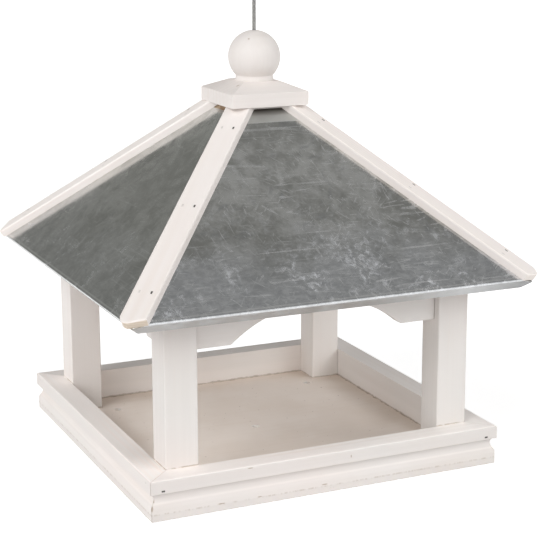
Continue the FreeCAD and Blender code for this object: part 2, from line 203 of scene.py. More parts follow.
def shared(name, inputs, outputs, lay_out):
    """A shader node group with named inputs and outputs."""
    tree = bpy.data.node_groups.new(name, "ShaderNodeTree")
    for label, kind, value in inputs:
        socket = tree.interface.new_socket(label, in_out="INPUT", socket_type=kind)
        if value is not None:
            socket.default_value = value
    for label, kind in outputs:
        tree.interface.new_socket(label, in_out="OUTPUT", socket_type=kind)
    come = tree.nodes.new("NodeGroupInput")
    go = tree.nodes.new("NodeGroupOutput")
    for label, socket in lay_out(tree, come.outputs).items():
        tree.links.new(socket, go.inputs[label])
    return tree


def use(tree, group, **feeds):
    made = put(tree, "ShaderNodeGroup", node_tree=group)
    for name, value in feeds.items():
        feed(tree, made.inputs[name.replace("_", " ")], value)
    return made.outputs


number, arrow, colour = "NodeSocketFloat", "NodeSocketVector", "NodeSocketColor"


# Wood figure: the grain runs along the X of the vector that comes in
def lay_figure(tree, come):
    rings = put(tree, "ShaderNodeTexWave", {
        "Vector": stretched(tree, come["Vector"], (0.06, 1.0, 0.55)), "Scale": come["Rings"],
        "Distortion": 3.4, "Detail": 2.2, "Detail Scale": 0.8, "Detail Roughness": 0.45},
        bands_direction="Y")
    slow = speckle(tree, stretched(tree, come["Vector"], (0.12, 1.0, 1.0)), 42.0)
    fibre = speckle(tree, stretched(tree, come["Vector"], (0.018, 1.0, 1.0)), 900.0, detail=3.0, rough=0.6)
    streak = speckle(tree, stretched(tree, come["Vector"], (0.03, 1.0, 1.0)), 190.0, rough=0.55)
    figure = times(tree, rings.outputs["Fac"], spread(tree, slow, 0.35, 0.66))
    pores = spread(tree, fibre, 0.60, 0.74)
    height = plus(tree, times(tree, fibre, 0.6), times(tree, streak, 0.8))
    height = minus(tree, height, times(tree, figure, 0.35))
    return {"Figure": figure, "Fibre": fibre, "Streak": streak, "Pores": pores, "Height": height}


wood_figure = shared(
    "wood_figure",
    [("Vector", arrow, None), ("Rings", number, 60.0)],
    [("Figure", number), ("Fibre", number), ("Streak", number), ("Pores", number), ("Height", number)],
    lay_figure)


# Knots that bleed a little pink through the paint, in few of the cells
def lay_knots(tree, come):
    cells = put(tree, "ShaderNodeTexVoronoi", {
        "Vector": stretched(tree, come["Vector"], (0.55, 1.0, 1.0), (0.013, 0.021, 0.007)),
        "Scale": come["Scale"], "Randomness": 1.0})
    chance = put(tree, "ShaderNodeSeparateColor", {"Color": cells.outputs["Color"]}).outputs["Red"]
    few = spread(tree, chance, 0.72, 0.80)
    halo = falls(tree, cells.outputs["Distance"], 0.02, 0.26)
    core = falls(tree, cells.outputs["Distance"], 0.01, 0.10)
    return {"Halo": times(tree, halo, few), "Core": times(tree, core, few)}


knots = shared("knots", [("Vector", arrow, None), ("Scale", number, 14.0)],
               [("Halo", number), ("Core", number)], lay_knots)


# Edges where handling has rubbed the finish away
def lay_rub(tree, come):
    bevel = put(tree, "ShaderNodeBevel", {"Radius": come["Reach"]}, samples=4).outputs["Normal"]
    plain = put(tree, "ShaderNodeNewGeometry").outputs["Normal"]
    edge = falls(tree, arrows(tree, "DOT_PRODUCT", bevel, plain)["Value"], 0.80, 0.97)
    patchy = speckle(tree, come["Vector"], come["Scale"], detail=3.0, rough=0.6)
    worn = spread(tree, patchy, come["Spared"], plus(tree, come["Spared"], 0.12))
    return {"Rub": times(tree, edge, worn), "Edge": edge}


edge_rub = shared(
    "edge_rub",
    [("Vector", arrow, None), ("Reach", number, 0.8 * mm), ("Scale", number, 160.0),
     ("Spared", number, 0.55)],
    [("Rub", number), ("Edge", number)], lay_rub)


# Faces cut across the grain
def lay_end_grain(tree, come):
    cut = spread(tree, unsigned(tree, towards(tree, come["Grain"])), 0.80, 0.90)
    rings = put(tree, "ShaderNodeTexWave", {
        "Vector": stretched(tree, come["Vector"], (0.0, 1.0, 1.0)), "Scale": 150.0,
        "Distortion": 2.0, "Detail": 1.5, "Detail Scale": 1.2}, wave_type="RINGS")
    pith = speckle(tree, come["Vector"], 1300.0)
    return {"Cut": cut, "Rings": plus(tree, times(tree, rings.outputs["Fac"], 0.5), times(tree, pith, 0.5))}


end_grain = shared("end_grain", [("Vector", arrow, None), ("Grain", arrow, None)],
                   [("Cut", number), ("Rings", number)], lay_end_grain)


# Faces that look one way
def lay_facing(tree, come):
    return {"Share": spread(tree, towards(tree, come["Towards"]), 0.45, 0.90)}


facing = shared("facing", [("Towards", arrow, None)], [("Share", number)], lay_facing)


# Brown dirt in the tray's joints, round the floor and in the rails' mitres, and a painted shade line where a
# post leaves the rails
def lay_joint_dirt_and_shade(tree, come):
    parts = parts_of(tree, come["Vector"])
    wide = unsigned(tree, parts["X"])
    deep = unsigned(tree, parts["Y"])
    reach = sums(tree, "MAXIMUM", wide, deep)
    broken = speckle(tree, come["Vector"], 190.0, detail=3.0, rough=0.6)
    foot = plus(tree, parts["Z"], times(tree, broken, -3.0 * mm))
    foot = falls(tree, foot, floor_top - 1.4 * mm, floor_top)
    foot = times(tree, foot, sums(tree, "LESS_THAN", reach, rail_inside + 0.4 * mm))
    off_corner = unsigned(tree, minus(tree, wide, deep))
    mitre = falls(tree, plus(tree, off_corner, times(tree, broken, 0.4 * mm)), 0.4 * mm, 0.7 * mm)
    mitre = times(tree, mitre, sums(tree, "GREATER_THAN", reach, rail_inside + 0.6 * mm))
    mitre = times(tree, mitre, sums(tree, "LESS_THAN", parts["Z"], rail_top + 0.5 * mm))
    waist_shade = line_at(tree, parts["Z"], rail_top + 0.3 * mm, 0.4 * mm, 0.9 * mm)
    waist_shade = times(tree, waist_shade, spread(tree, broken, 0.36, 0.56))
    waist_shade = times(tree, waist_shade, sums(tree, "GREATER_THAN", reach, rail_inside - 0.5 * mm))
    return {"Foot": foot, "Mitre": mitre, "Waist Shade": waist_shade}


joint_dirt_and_shade = shared("joint_dirt_and_shade", [("Vector", arrow, None)],
                    [("Foot", number), ("Mitre", number), ("Waist Shade", number)], lay_joint_dirt_and_shade)

# Heights on the rails' moulding: the step at its foot, and where the swell above it ends
step_height = 5.0 * mm
swell_top = 15.0 * mm


# Painted light and shade on the moulding: lighter over the swell than under it, with a broken dark line
# along the step between them
def lay_moulding(tree, come):
    up = parts_of(tree, come["Vector"])["Z"]
    share = spread(tree, up, step_height - 0.4 * mm, step_height + 0.4 * mm, come["Under"], come["Over"])
    past = spread(tree, up, swell_top, swell_top + 3.5 * mm)
    share = plus(tree, share, times(tree, past, minus(tree, 1.0, share)))
    broken = speckle(tree, stretched(tree, come["Vector"], (1.0, 1.0, 0.3)), 330.0, detail=3.0, rough=0.6)
    worn = line_at(tree, up, step_height, 0.3 * mm, 0.9 * mm)
    return {"Share": grey(tree, share), "Dark Step Line": times(tree, worn, spread(tree, broken, 0.42, 0.66))}


moulding = shared("moulding", [("Vector", arrow, None), ("Under", number, 1.0), ("Over", number, 1.0)],
                  [("Share", colour), ("Dark Step Line", number)], lay_moulding)


# One small nick at a place, with its reach along each axis
def lay_nick(tree, come):
    away = arrows(tree, "SUBTRACT", come["Vector"], come["At"])["Vector"]
    share = arrows(tree, "DIVIDE", away, come["Reach"])["Vector"]
    return {"Mask": falls(tree, arrows(tree, "LENGTH", share)["Value"], 0.55, 1.0)}


nick = shared("nick", [("Vector", arrow, None), ("At", arrow, None), ("Reach", arrow, None)],
              [("Mask", number)], lay_nick)


def along_x(tree, grain, shift):
    """Object coordinates turned so that the grain runs along X."""
    spin = Vector(grain).normalized().rotation_difference(Vector((1, 0, 0))).to_euler()
    return put(tree, "ShaderNodeMapping", {
        "Vector": object_place(tree), "Rotation": spin, "Location": shift}).outputs["Vector"]


def material(name):
    made = bpy.data.materials.new(name)
    made.use_nodes = True
    tree = made.node_tree
    tree.nodes.clear()
    surface = tree.nodes.new("ShaderNodeBsdfPrincipled")
    out = tree.nodes.new("ShaderNodeOutputMaterial")
    tree.links.new(surface.outputs["BSDF"], out.inputs["Surface"])
    return made, tree, surface


def finish_with(tree, surface, body, rough, height, depth, strength):
    """Joins a colour, a roughness and a relief to a surface."""
    tree.links.new(body, surface.inputs["Base Color"])
    tree.links.new(rough, surface.inputs["Roughness"])
    relief = put(tree, "ShaderNodeBump", {"Height": height, "Distance": depth, "Strength": strength})
    tree.links.new(relief.outputs["Normal"], surface.inputs["Normal"])


# Shades of the paint, of what shows through it and of what lies on it
paint_white = (0.860, 0.804, 0.773)
paint_cool = (0.800, 0.785, 0.758)
paint_thin = (0.760, 0.665, 0.595)
paint_streak = (0.900, 0.870, 0.850)
knot_pink = (0.700, 0.520, 0.440)
knot_dark = (0.330, 0.205, 0.120)
bare_pine = ((0.560, 0.405, 0.270), (0.700, 0.560, 0.420))
cut_pine = ((0.560, 0.430, 0.300), (0.730, 0.620, 0.490))
cut_block = ((0.520, 0.360, 0.240), (0.330, 0.200, 0.120))
# Brown for dirt in the joints and dents, also used for the painted shade line where a post leaves the rails
# and the dark line along the moulding's step
dirt_and_shade_brown = (0.330, 0.235, 0.150)


# Paint lighter or darker for each piece, partly its coat and partly painted light and shade
def coated_and_lit(shade, coat_and_light):
    return tuple(min(part * coat_and_light, 0.96) for part in shade)


def paint_coat(tree, place, vector, wood, knot, thin, coat_and_light, cool):
    """White paint, thinner over the wood's figure, with its pores, streaks and knots."""
    cloud = speckle(tree, vector, 22.0)
    shade = speckle(tree, place, 9.0, detail=1.0)
    body = cover(tree, coated_and_lit(paint_white, coat_and_light), wood["Figure"], thin, coated_and_lit(paint_thin, coat_and_light))
    body = tint(tree, spread(tree, shade, 0.35, 0.65, 0.0, cool), body, coated_and_lit(paint_cool, coat_and_light))
    body = tint(tree, spread(tree, cloud, 0.30, 0.75, 0.0, 0.10), body, paint_thin)
    body = cover(tree, body, wood["Pores"], 0.16, paint_thin)
    body = tint(tree, spread(tree, wood["Streak"], 0.35, 0.65, 0.0, 0.10), body, paint_streak)
    body = cover(tree, body, knot["Halo"], 0.14, knot_pink)
    return cover(tree, body, knot["Core"], 0.16, knot_dark)


# White wash over pine, lighter or darker for each piece by its coat and painted light. Faces that look one
# way get their own painted light or shade, at the tray's front and at its back
def white_wash(name, grain, shift, rings=60.0, thin=0.35, coat_and_light=1.0, cool=0.45, bare_ends=0.0,
               ends=cut_pine, waist_shade=0.0, swell_light=None, face_light=(), dents=()):
    made, tree, surface = material(name)
    place = object_place(tree)
    vector = along_x(tree, grain, shift)
    wood = use(tree, wood_figure, Vector=vector, Rings=rings)
    knot = use(tree, knots, Vector=vector, Scale=13.0)
    rub = use(tree, edge_rub, Vector=vector, Reach=0.9 * mm, Scale=150.0, Spared=0.56)
    cut = use(tree, end_grain, Vector=vector, Grain=tuple(Vector(grain).normalized()))
    dirt_and_shade = use(tree, joint_dirt_and_shade, Vector=place)
    body = paint_coat(tree, place, vector, wood, knot, thin, coat_and_light, cool)
    body = cover(tree, body, rub["Rub"], 0.45, tint(tree, wood["Fibre"], *bare_pine))
    body = cover(tree, body, cut["Cut"], bare_ends, tint(tree, cut["Rings"], *ends))
    # Dirt round the floor and in the mitres, and a painted shade line at a post's waist
    for joint, amount in (("Foot", 0.50), ("Mitre", 0.14), ("Waist Shade", waist_shade)):
        body = cover(tree, body, dirt_and_shade[joint], amount, dirt_and_shade_brown)
    # Painted light over the moulding's swell and painted shade under its step, with a broken dark line along
    # the step
    if swell_light:
        step = use(tree, moulding, Vector=place, Under=swell_light[0], Over=swell_light[1])
        body = cover(tree, deepen(tree, body, step["Share"]), step["Dark Step Line"], 0.30, dirt_and_shade_brown)
    # Painted light and shade: faces that look one way made lighter or darker as light falls on them, from
    # the tray's front to its back
    depth = parts_of(tree, place)["Y"]
    for direction, at_front, at_back in face_light:
        seen = use(tree, facing, Towards=Vector(direction).normalized())["Share"]
        share = spread(tree, depth, -tray_half, tray_half, at_front, at_back)
        body = deepen(tree, body, grey(tree, share), seen)
    height = plus(tree, wood["Height"], times(tree, knot["Core"], -0.6))
    height = minus(tree, height, times(tree, dirt_and_shade["Mitre"], 0.4))
    for at, reach in dents:
        dent = use(tree, nick, Vector=place, At=Vector(at) * mm, Reach=Vector(reach) * mm)["Mask"]
        body = cover(tree, body, dent, 0.65, dirt_and_shade_brown)
        height = minus(tree, height, dent)
    dull = plus(tree, spread(tree, wood["Fibre"], 0.3, 0.7, 0.50, 0.64), times(tree, rub["Rub"], 0.15))
    finish_with(tree, surface, body, dull, height, depth=0.16 * mm, strength=0.55)
    return made


rafter_pine = ((0.640, 0.500, 0.350), (0.430, 0.290, 0.170))


# Raw pine of the rafters
def raw_pine(name, grain, shift):
    made, tree, surface = material(name)
    vector = along_x(tree, grain, shift)
    wood = use(tree, wood_figure, Vector=vector, Rings=70.0)
    cut = use(tree, end_grain, Vector=vector, Grain=tuple(Vector(grain).normalized()))
    cloud = speckle(tree, vector, 12.0, detail=3.0)
    light, dark = rafter_pine
    body = cover(tree, light, wood["Figure"], 0.55, dark)
    body = tint(tree, spread(tree, cloud, 0.35, 0.7, 0.0, 0.25), body, dark)
    body = cover(tree, body, wood["Pores"], 0.35, dark)
    body = cover(tree, body, cut["Cut"], times(tree, cut["Rings"], 0.4), dark)
    dull = spread(tree, wood["Fibre"], 0.3, 0.7, 0.60, 0.78)
    finish_with(tree, surface, body, dull, wood["Height"], depth=0.2 * mm, strength=0.6)
    return made


ply_light = (0.980, 0.890, 0.815)
ply_figure = (0.890, 0.770, 0.675)
ply_cloud = (0.860, 0.745, 0.650)
ply_pores = (0.760, 0.640, 0.540)
ply_stain_and_shade = (0.620, 0.480, 0.350)
ply_specks = (0.300, 0.230, 0.170)
ply_frayed = (0.960, 0.930, 0.900)
# The drain holes' distances from both centre lines, and where the fray round a hole ends
drain_places = (0.0, 87.0 * mm)
fray_ring = (4.2 * mm, 5.0 * mm)


# Floor board: pale ply, darkened broadly towards the rails by stain and painted shade, browned along the
# joints, specked, and frayed round the drain holes
def ply(name):
    made, tree, surface = material(name)
    place = object_place(tree)
    wood = use(tree, wood_figure, Vector=place, Rings=38.0)
    parts = parts_of(tree, place)
    wide = unsigned(tree, parts["X"])
    deep = unsigned(tree, parts["Y"])
    edge = sums(tree, "MAXIMUM", wide, deep)
    cloud = speckle(tree, shifted(tree, place, (0.04, 0.02, 0.0)), 13.0, detail=3.0, rough=0.6)
    ragged = speckle(tree, place, 210.0, detail=3.0, rough=0.6)
    body = cover(tree, ply_light, wood["Figure"], 0.14, ply_figure)
    body = tint(tree, spread(tree, cloud, 0.38, 0.62, 0.0, 0.38), body, ply_cloud)
    body = cover(tree, body, wood["Pores"], 0.22, ply_pores)
    # A broad darkening towards the rails, partly stain and partly painted shade
    soft = plus(tree, edge, times(tree, cloud, 50.0 * mm))
    soft = spread(tree, soft, rail_inside - 12.0 * mm, rail_inside + 30.0 * mm)
    body = cover(tree, body, soft, 0.26, ply_stain_and_shade)
    joint = plus(tree, edge, times(tree, ragged, 6.0 * mm))
    joint = spread(tree, joint, rail_inside + 1.4 * mm, rail_inside + 3.0 * mm)
    body = cover(tree, body, joint, 0.70, dirt_and_shade_brown)
    specks = spread(tree, speckle(tree, place, 340.0, detail=1.0), 0.745, 0.775)
    body = cover(tree, body, specks, 0.55, ply_specks)
    for at in drain_places:
        away = put(tree, "ShaderNodeCombineXYZ", {"X": minus(tree, wide, at), "Y": minus(tree, deep, at)})
        ring = arrows(tree, "LENGTH", away.outputs[0])["Value"]
        ring = plus(tree, ring, times(tree, ragged, 3.0 * mm))
        body = tint(tree, spread(tree, ring, *fray_ring, 0.80, 0.0), body, ply_frayed)
    dull = spread(tree, wood["Fibre"], 0.3, 0.7, 0.60, 0.78)
    finish_with(tree, surface, body, dull, wood["Height"], depth=0.16 * mm, strength=0.5)
    return made


# Places on a roof sheet laid flat: X runs along the eave, Y up the slope and Z off the sheet
wet_edge = (-55.0 * mm, 5.0 * mm)
fold_line = -19.2 * mm
lip_face = (215.6 * mm, 216.3 * mm)
# Where the lip's painted shade deepens towards the sheet's far end
lip_shade_span = (95.0 * mm, 150.0 * mm)
# Where the pale painted reflection under the cap begins, and where it darkens into a painted shadow
reflection_edge = (143.1 * mm, 143.7 * mm)
painted_shadow_edge = (150.0 * mm, 156.0 * mm)
slope_ends = (-20.0 * mm, 150.0 * mm)
# Each run of scratches: its angle, how long drawn and how fine it is, and the least noise that shows
scratch_runs = ((-0.06, 0.11, 470.0, 0.645), (0.10, 0.07, 500.0, 0.655), (0.75, 0.16, 480.0, 0.665),
                (1.35, 0.18, 470.0, 0.660), (-0.85, 0.17, 480.0, 0.665))


def lay_scratches(tree, flat):
    """Long scratches along the eave and short ones every way, all in patches."""
    line = speckle(tree, stretched(tree, flat, (0.018, 1.0, 1.0), (0.02, 0.0, 0.0)), 420.0,
                   detail=1.0, rough=0.4, warp=0.3)
    gate = speckle(tree, stretched(tree, flat, (0.4, 1.0, 1.0), (0.3, 0.1, 0.0)), 26.0)
    scratches = times(tree, spread(tree, line, 0.66, 0.70), spread(tree, gate, 0.46, 0.60))
    for k, (angle, drawn, fine, least) in enumerate(scratch_runs):
        spun = put(tree, "ShaderNodeMapping", {"Vector": flat, "Rotation": (0.0, 0.0, angle),
                                               "Location": (0.11 * k, 0.07 * k, 0.0)}).outputs["Vector"]
        line = speckle(tree, stretched(tree, spun, (drawn, 1.0, 1.0)), fine, detail=1.0, rough=0.4, warp=1.1)
        gate = speckle(tree, shifted(tree, flat, (0.4 * k, 0.0, 0.2)), 30.0, detail=3.0)
        line = times(tree, spread(tree, line, least, least + 0.05), spread(tree, gate, 0.40, 0.62))
        scratches = sums(tree, "MAXIMUM", scratches, line)
    return scratches


# Marks on a galvanised sheet laid flat, with the masks for its painted reflection, shadow, highlight and
# shade
def lay_sheet_marks(tree, come):
    flat = come["Vector"]
    parts = parts_of(tree, flat)
    cloud = speckle(tree, flat, 17.0, detail=3.0, rough=0.55, warp=0.4)
    mottle = speckle(tree, shifted(tree, flat, (0.31, 0.17, 0.05)), 70.0, detail=4.0, rough=0.60, warp=0.5)
    grit = speckle(tree, flat, 420.0, detail=3.0, rough=0.70)
    tone = plus(tree, times(tree, cloud, 0.40), times(tree, mottle, 0.46))
    tone = spread(tree, plus(tree, tone, times(tree, grit, 0.14)), 0.40, 0.60)
    low = falls(tree, plus(tree, parts["Y"], times(tree, cloud, -100.0 * mm)), *wet_edge)
    low_tone = speckle(tree, stretched(tree, flat, (0.55, 1.0, 1.0), (0.9, 0.2, 0.1)), 240.0,
                       detail=4.0, rough=0.70, warp=0.3)
    blots = speckle(tree, shifted(tree, flat, (0.7, 0.3, 0.6)), 62.0, detail=3.0, rough=0.55, warp=0.6)
    flecks = speckle(tree, shifted(tree, flat, (0.5, 0.1, 0.3)), 170.0, detail=5.0, rough=0.70, warp=0.4)
    patch = spread(tree, speckle(tree, shifted(tree, flat, (0.2, 0.6, 0.3)), 38.0), 0.38, 0.62)
    patch = plus(tree, 0.10, times(tree, patch, plus(tree, 0.35, low)))
    lip = falls(tree, parts["Z"], *lip_face)
    return {"Tone": tone, "Low": low, "Low Tone": spread(tree, low_tone, 0.38, 0.64),
            "Blots": spread(tree, blots, 0.56, 0.72),
            "Bloom": times(tree, spread(tree, flecks, 0.44, 0.70), patch),
            "Scratches": lay_scratches(tree, flat),
            "Crease Highlight": line_at(tree, parts["Y"], fold_line, 0.3 * mm, 1.0 * mm),
            "Lip": lip, "Lip End Shade": times(tree, lip, spread(tree, parts["X"], *lip_shade_span)),
            "Painted Reflection": spread(tree, parts["Y"], *reflection_edge),
            "Painted Shadow": spread(tree, parts["Y"], *painted_shadow_edge, smooth=False),
            "Rise": grey(tree, spread(tree, parts["Y"], *slope_ends, 0.92, 1.12))}


sheet_marks = shared(
    "sheet_marks", [("Vector", arrow, None)],
    [("Rise", colour)] + [(mark, number) for mark in (
        "Tone", "Low", "Low Tone", "Blots", "Bloom", "Scratches", "Crease Highlight", "Lip", "Lip End Shade",
        "Painted Reflection", "Painted Shadow")],
    lay_sheet_marks)

zinc_tones = ((0.425, 0.427, 0.405), (0.680, 0.682, 0.665))
zinc_wet = ((0.555, 0.572, 0.602), (0.775, 0.792, 0.822))
zinc_blots = (0.340, 0.350, 0.360)
zinc_flecks = (0.900, 0.915, 0.950)
zinc_scratches = (0.930, 0.935, 0.945)
# Painted highlight on the crease, painted shade on the lip and its far end, painted reflection and shadow
# under the cap, and a painted highlight along the fold
zinc_crease_highlight = (0.900, 0.900, 0.900)
zinc_lip_shade = (0.490, 0.495, 0.495)
zinc_lip_end_shade = (0.260, 0.262, 0.262)
zinc_painted_reflection = (0.800, 0.805, 0.780)
zinc_painted_shadow = (0.045, 0.036, 0.028)
zinc_fold_highlight = (0.980, 0.980, 0.975)


# Galvanised sheet, cloudy and scuffed, with a painted highlight along the fold and on a crease above it,
# painted shade on the lip and its far end, and under the cap a dull, pale painted reflection that darkens
# into a painted shadow
def zinc(name, quarter_turns, wear, painted_reflection):
    made, tree, surface = material(name)
    turned = put(tree, "ShaderNodeMapping", {
        "Vector": object_place(tree), "Rotation": (0.0, 0.0, -0.5 * math.pi * quarter_turns)})
    flat = put(tree, "ShaderNodeMapping", {
        "Vector": turned.outputs["Vector"], "Rotation": (-roof_pitch, 0.0, 0.0),
        "Location": (0.37 * quarter_turns, 0.0, 0.0)}).outputs["Vector"]
    marks = use(tree, sheet_marks, Vector=flat)
    rub = use(tree, edge_rub, Vector=flat, Reach=0.6 * mm, Scale=60.0, Spared=0.30)
    reflection_under_cap = times(tree, marks["Painted Reflection"], painted_reflection)
    contrast = 0.5 + 0.5 * wear
    tone = plus(tree, times(tree, marks["Tone"], contrast), 0.5 - 0.5 * contrast)
    body = deepen(tree, tint(tree, tone, *zinc_tones), marks["Rise"])
    wet = tint(tree, marks["Low Tone"], *zinc_wet)
    # The zinc's own blots, wet patches, flecks and scratches, then a painted highlight on the crease and
    # painted shade on the lip, deeper at its far end
    for mark, amount, shade in (("Blots", 0.40 * wear, zinc_blots), ("Low", 0.65 * wear, wet),
                                ("Bloom", 0.74 * wear, zinc_flecks),
                                ("Scratches", 0.50 * wear, zinc_scratches), ("Crease Highlight", 0.55, zinc_crease_highlight),
                                ("Lip", 0.75, zinc_lip_shade), ("Lip End Shade", 0.70, zinc_lip_end_shade)):
        body = cover(tree, body, marks[mark], amount, shade)
    # Under the cap: a pale painted reflection of the cap's underside, darkening into a painted shadow at the
    # cap's edge
    body = cover(tree, body, reflection_under_cap, 0.80, zinc_painted_reflection)
    body = cover(tree, body, times(tree, marks["Painted Shadow"], reflection_under_cap), 0.93, zinc_painted_shadow)
    # Painted highlight along the fold's bend
    body = cover(tree, body, rub["Edge"], 0.80, zinc_fold_highlight)
    surface.inputs["Metallic"].default_value = 1.0
    rough = spread(tree, marks["Tone"], 0.0, 1.0, 0.12, 0.17)
    for mask, more in ((marks["Bloom"], 0.29 * wear), (marks["Scratches"], 0.15 * wear),
                       (marks["Lip"], 0.26), (reflection_under_cap, 0.30)):
        rough = plus(tree, rough, times(tree, mask, more))
    waves = speckle(tree, flat, 13.0, detail=1.0)
    finish_with(tree, surface, body, rough, waves, depth=0.5 * mm, strength=0.4)
    return made


# Plain steel and pressed metal, from its light and dark shade and its least and greatest roughness
def metal(name, light, dark, low_rough, high_rough, scale=500.0, metallic=1.0):
    made, tree, surface = material(name)
    stain = speckle(tree, object_place(tree), scale, detail=3.0, rough=0.6)
    body = tint(tree, spread(tree, stain, 0.35, 0.65), light, dark)
    surface.inputs["Metallic"].default_value = metallic
    dull = spread(tree, stain, 0.3, 0.7, low_rough, high_rough)
    finish_with(tree, surface, body, dull, stain, depth=0.05 * mm, strength=0.5)
    return made


dark_steel = ((0.160, 0.150, 0.140), (0.050, 0.042, 0.036))
painted_head = ((0.620, 0.580, 0.550), (0.760, 0.710, 0.680))


# Nails: bare dark heads, and those that the brush went over
def nail_metal(name, lay_bare):
    made, tree, surface = material(name)
    place = object_place(tree)
    bare = lay_bare(tree, parts_of(tree, place))
    stain = speckle(tree, place, 500.0, detail=3.0, rough=0.6)
    dark = tint(tree, spread(tree, stain, 0.35, 0.65), *dark_steel)
    body = tint(tree, bare, tint(tree, stain, *painted_head), dark)
    tree.links.new(times(tree, bare, 0.7), surface.inputs["Metallic"])
    dull = spread(tree, stain, 0.3, 0.7, 0.42, 0.62)
    finish_with(tree, surface, body, dull, stain, depth=0.05 * mm, strength=0.5)
    return made


def one_of_each_pair(tree, parts):
    """True on the batten nails with the greater X of their pair."""
    lean = minus(tree, unsigned(tree, parts["X"]), unsigned(tree, parts["Y"]))
    return sums(tree, "GREATER_THAN", times(tree, lean, parts["X"]), 0.0)


def near_the_corners(tree, parts):
    """True on the front and back rails' nails near the corners."""
    off_middle = sums(tree, "GREATER_THAN", unsigned(tree, parts["X"]), 50.0 * mm)
    front_or_back = sums(tree, "GREATER_THAN", unsigned(tree, parts["Y"]), tray_half - 8.0 * mm)
    return times(tree, off_middle, front_or_back)


def dress(name, finish):
    slots = nodes[name].data.materials
    slots.clear()
    slots.append(finish)


# Ways that grain runs and faces look, and the signs of each corner's x and y
along, inward, upright = (1, 0, 0), (0, 1, 0), (0, 0, 1)
up_face, under_face, front_face = (0, 0, 1), (0, 0, -1), (0, -1, 0)
corners = {"front_left": (-1, -1), "front_right": (1, -1), "back_left": (-1, 1), "back_right": (1, 1)}

# Nicks by their place and reach in mm. The crack in the front left mitre shows on both of its rails
crack = (((-136.7, -136.7, 15.6), (1.0, 1.0, 3.0)), ((-138.7, -138.7, 10.3), (1.1, 1.1, 3.4)))
nicks = {"rail_front": (((-65.0, -140.0, 28.6), (2.6, 1.2, 0.45)), ((-6.0, -139.5, 6.3), (3.0, 2.0, 0.6)),
                        ((-57.5, -139.5, 5.5), (2.2, 2.0, 0.5)), ((-87.0, -139.5, 5.3), (3.2, 2.0, 0.5)),
                        ((15.0, -140.0, 25.0), (0.5, 1.5, 1.4))) + crack,
         "rail_left": crack,
         "cap_plate": (((-20.0, -15.0, 283.6), (2.2, 1.2, 1.2)),),
         "ball_finial": (((-9.0, -10.6, 317.9), (0.9, 1.0, 0.7)),)}

# Grain of each board, its coat with painted light, and the painted light or shade of its faces at the front
# and at the back
boards = {
    "rail_front": (along, 0.90, ((up_face, 1.27, 1.27), (under_face, 0.84, 0.84), (front_face, 0.93, 0.93))),
    "rail_left": (inward, 0.91, ((up_face, 1.34, 1.28), (under_face, 0.91, 0.91))),
    "rail_back": (along, 1.09, ((up_face, 0.90, 0.90),)),
    "rail_right": (inward, 0.99, ((up_face, 1.16, 0.88),)),
    "apron_front": (along, 0.93, ()), "apron_right": (inward, 0.92, ()),
    "apron_back": (along, 1.00, ()), "apron_left": (inward, 0.95, ())}
# Painted shade under the rails' moulding step and painted light over its swell
painted_light_under_and_over_step = (0.97, 1.03)
for k, (node, (grain, coat_and_light, face_light)) in enumerate(boards.items()):
    dress(node, white_wash("wash_" + node, grain, (0.03 + 0.04 * k, 0.01 + 0.05 * k, 0.02), coat_and_light=coat_and_light,
                           swell_light=painted_light_under_and_over_step if node.startswith("rail") else None,
                           face_light=face_light, dents=nicks.get(node, ())))

# Coat with painted light of each corner's post and batten, painted light or shade on the batten's side face,
# and how bare the batten's ends are
coats_and_light = {"front_left": (0.885, 1.00, 0.92, 0.75), "front_right": (0.90, 1.10, 0.77, 0.12),
         "back_left": (0.96, 1.10, 1.03, 0.20), "back_right": (1.06, 1.04, 1.0, 0.50)}
hip_fall = -math.tan(roof_pitch) / math.sqrt(2)
for k, (corner, (sx, sy)) in enumerate(corners.items()):
    post_coat_and_light, batten_coat_and_light, side_face_light, bare = coats_and_light[corner]
    hip = (sx / math.sqrt(2), sy / math.sqrt(2), hip_fall)
    dress("post_" + corner, white_wash("wash_post_" + corner, upright, (0.11 * k, 0.05 * k, 0.03),
                                       rings=75.0, thin=0.20, coat_and_light=post_coat_and_light, cool=0.6, waist_shade=0.55))
    dress("hip_batten_" + corner, white_wash("wash_batten_" + corner, hip, (0.09 * k, 0.02 * k, 0.06),
                                             rings=85.0, coat_and_light=batten_coat_and_light, cool=0.1, bare_ends=bare,
                                             face_light=(((-sx, sy, 0), side_face_light, side_face_light),)))
    dress("hip_rafter_" + corner, raw_pine("pine_rafter_" + corner, hip, (0.05 * k, 0.0, 0.0)))

dress("cap_plate", white_wash("wash_cap", along, (0.21, 0.13, 0.09), rings=50.0, thin=0.25, coat_and_light=0.895,
                              cool=0.1, dents=nicks["cap_plate"]))
dress("ball_finial", white_wash("wash_ball", upright, (0.31, 0.23, 0.03), rings=45.0, thin=0.25, coat_and_light=0.88,
                                dents=nicks["ball_finial"]))
dress("apex_block", white_wash("wash_block", along, (0.05, 0.03, 0.02), coat_and_light=0.90, bare_ends=1.0,
                               ends=cut_block))
dress("floor_board", ply("ply_floor"))

# Each roof sheet's wear, and how much of the pale painted reflection under the cap it shows
sheets = {"front": (1.0, 1.0), "right": (0.8, 0.0), "back": (0.6, 0.0), "left": (0.4, 0.0)}
for k, (side, (wear, painted_reflection)) in enumerate(sheets.items()):
    dress("roof_sheet_" + side, zinc("zinc_" + side, k, wear, painted_reflection))

